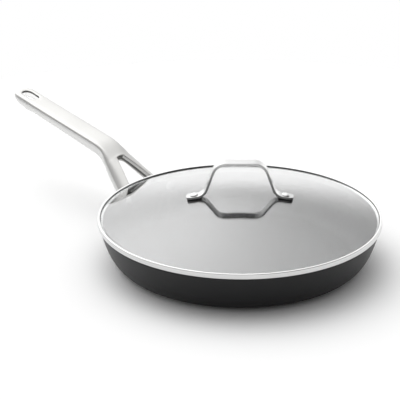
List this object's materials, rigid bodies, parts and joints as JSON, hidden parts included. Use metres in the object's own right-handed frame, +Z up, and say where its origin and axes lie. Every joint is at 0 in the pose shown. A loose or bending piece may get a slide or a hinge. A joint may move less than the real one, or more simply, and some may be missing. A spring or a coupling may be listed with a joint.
{
  "type": "frying pan with lid",
  "caption": "Round frying pan with flared walls, a forked riveted handle with a hanging slot, and a lift-off domed glass lid with a steel rim and a strap handle.",
  "frame": {"origin": "centre of the pan's flat base, on the surface that it stands on", "axes": "+Z up through the lid, the long handle points along -X, and Y runs across the handle"},
  "size_m": [0.5135, 0.304, 0.1134],
  "materials": {
    "anodised_aluminium": "matte dark grey, hard anodised",
    "cast_steel": "satin",
    "polished_steel": "polished",
    "tempered_glass": "clear, smooth",
    "silicone": "matte black"
  },
  "bodies": {
    "pan": {"pan_body": "anodised_aluminium", "long_handle": "cast_steel", "handle_rivet_1": "polished_steel", "handle_rivet_2": "polished_steel"},
    "lid": {"lid_glass": "tempered_glass", "lid_rim": "polished_steel", "lid_handle": "polished_steel", "lid_rivet_1": "polished_steel", "lid_rivet_2": "polished_steel", "lid_pad_1": "silicone", "lid_pad_2": "silicone", "lid_seal_1": "silicone", "lid_seal_2": "silicone", "lid_washer_1": "polished_steel", "lid_washer_2": "polished_steel"}
  },
  "joints": [
    {"name": "lid_lift", "type": "slide", "parent": "pan", "child": "lid", "axis": [0, 0, 1], "range_m": [0, 0.12]}
  ]
}
